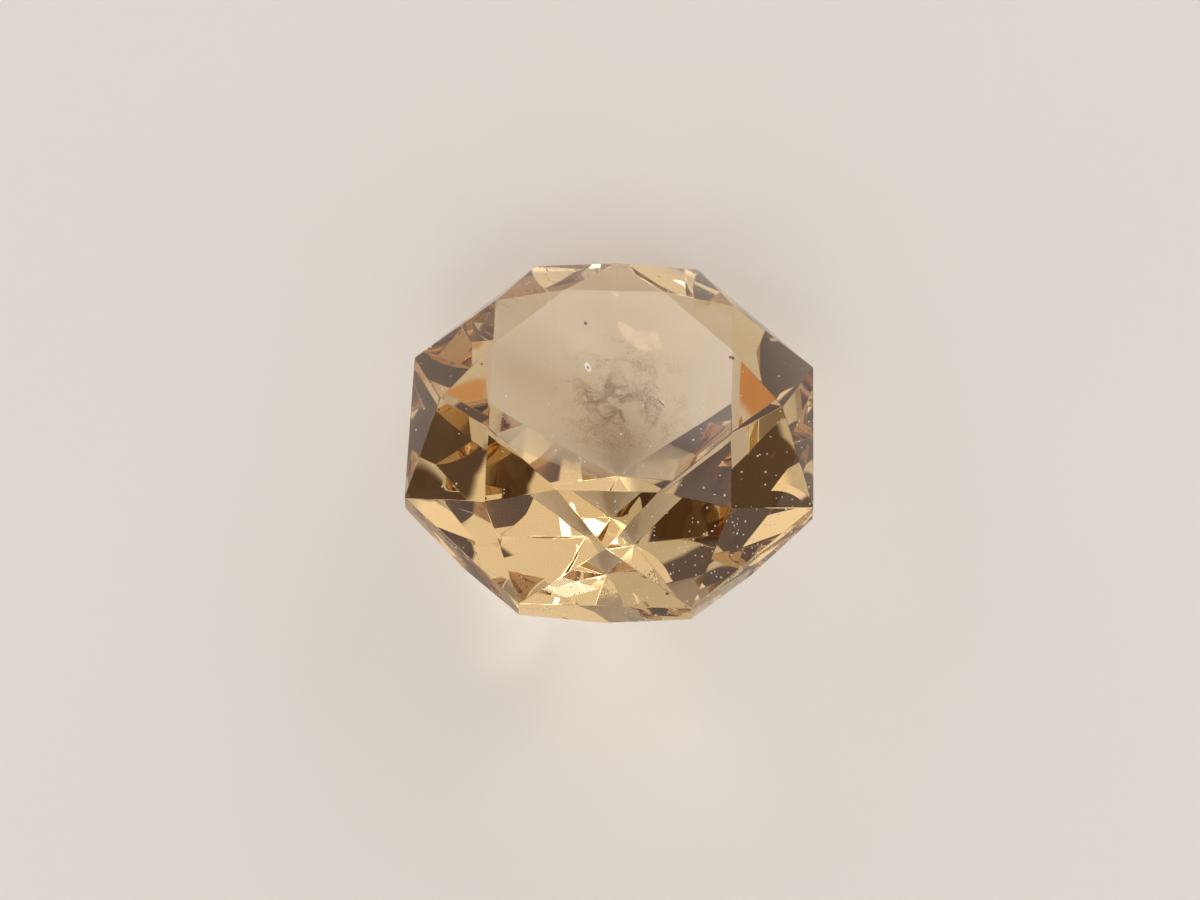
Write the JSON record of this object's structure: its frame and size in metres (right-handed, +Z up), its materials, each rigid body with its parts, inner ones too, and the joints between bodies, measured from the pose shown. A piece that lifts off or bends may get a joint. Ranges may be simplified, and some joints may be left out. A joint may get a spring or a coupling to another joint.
{
  "type": "faceted beryl gemstone",
  "caption": "Loose golden-brown cut gemstone: an octagonal brilliant with a flat table, a polished girdle and a pointed pavilion, lying on one pavilion facet.",
  "frame": {"origin": "middle of the stone's footprint box, on the surface that it lies on", "axes": "+Z up from that surface; the stone lies on the pavilion facet that faces +Y, so its table leans back towards +Y, and the plane X = 0 is its plane of symmetry"},
  "size_m": [0.007, 0.006, 0.0051],
  "materials": {
    "golden_beryl": "polished flat facets on clear golden-brown beryl"
  },
  "bodies": {
    "root": {"beryl_gemstone": "golden_beryl"}
  },
  "joints": []
}
